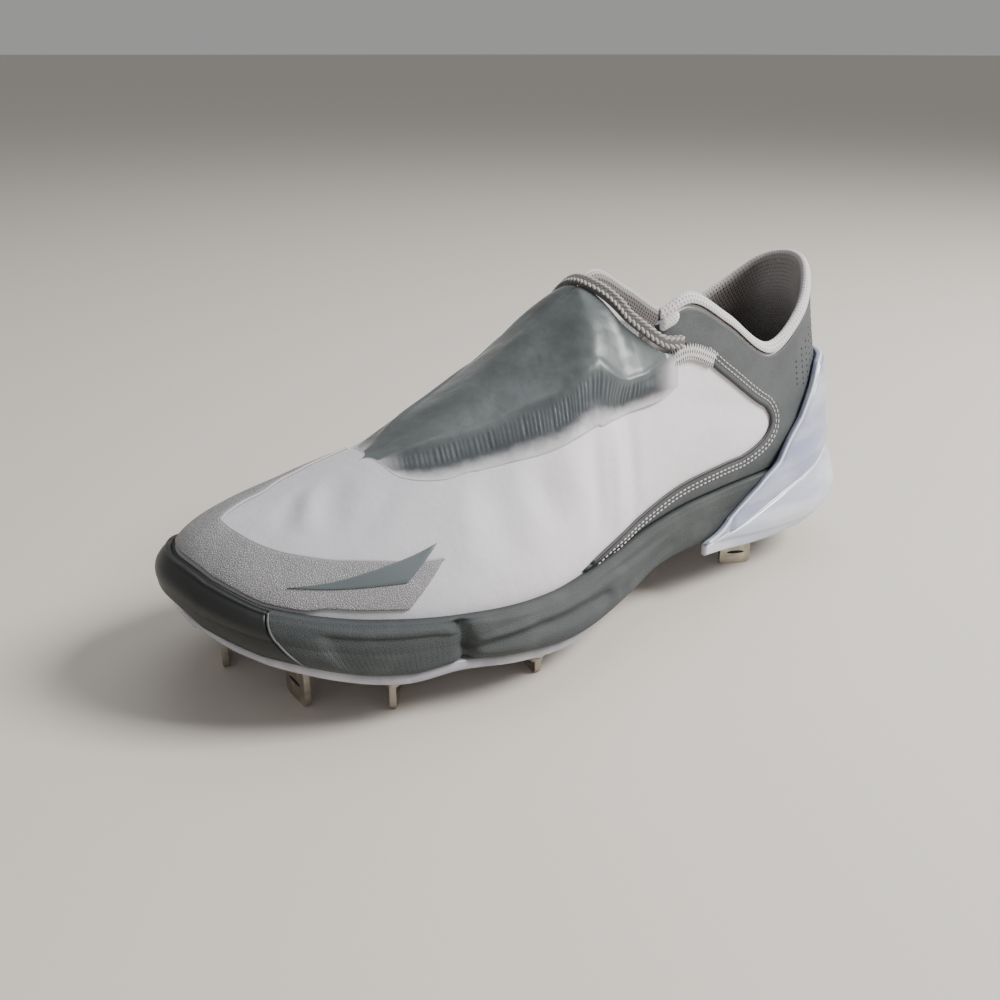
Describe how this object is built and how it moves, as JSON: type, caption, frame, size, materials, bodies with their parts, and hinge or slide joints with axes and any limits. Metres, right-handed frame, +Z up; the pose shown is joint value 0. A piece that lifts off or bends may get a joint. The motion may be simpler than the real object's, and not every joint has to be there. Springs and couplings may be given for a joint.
{
  "type": "baseball cleat",
  "caption": "Low-cut baseball cleat for the left foot, with a stretch cover over the lacing, a two-lobed foam midsole, a clear heel clip and metal blade spikes on a clear plate.",
  "frame": {"origin": "on the ground under the middle of the whole shoe", "axes": "-X towards the toe, +Y towards the inner side of the foot, +Z up; the spikes stand on z = 0"},
  "size_m": [0.2835, 0.1111, 0.12],
  "materials": {
    "upper": "smooth coated textile panels",
    "knit": "open knit lining and binding",
    "binding": "stitched stretch edge",
    "cover": "satin stretch textile",
    "foam": "moulded foam, leather-like grain",
    "rubber": "smooth moulded rubber",
    "footbed": "textile footbed",
    "clear": "clear moulded plastic",
    "steel": "cast metal, worn satin"
  },
  "bodies": {
    "root": {"plate": "clear", "midsole": "foam", "toe_bumper": "rubber", "insole": "footbed", "upper": "upper", "collar_roll": "knit", "tongue": "knit", "tongue_tab": "knit", "lace_cover": "cover", "cover_binding": "binding", "heel_counter": "clear", "heel_cushion": "clear", "spike_toe_outer": "steel", "spike_toe_inner": "steel", "spike_fore_outer": "steel", "spike_fore_inner": "steel", "spike_ball_outer": "steel", "spike_ball_inner": "steel", "spike_heel_outer": "steel", "spike_heel_inner": "steel"}
  },
  "joints": []
}
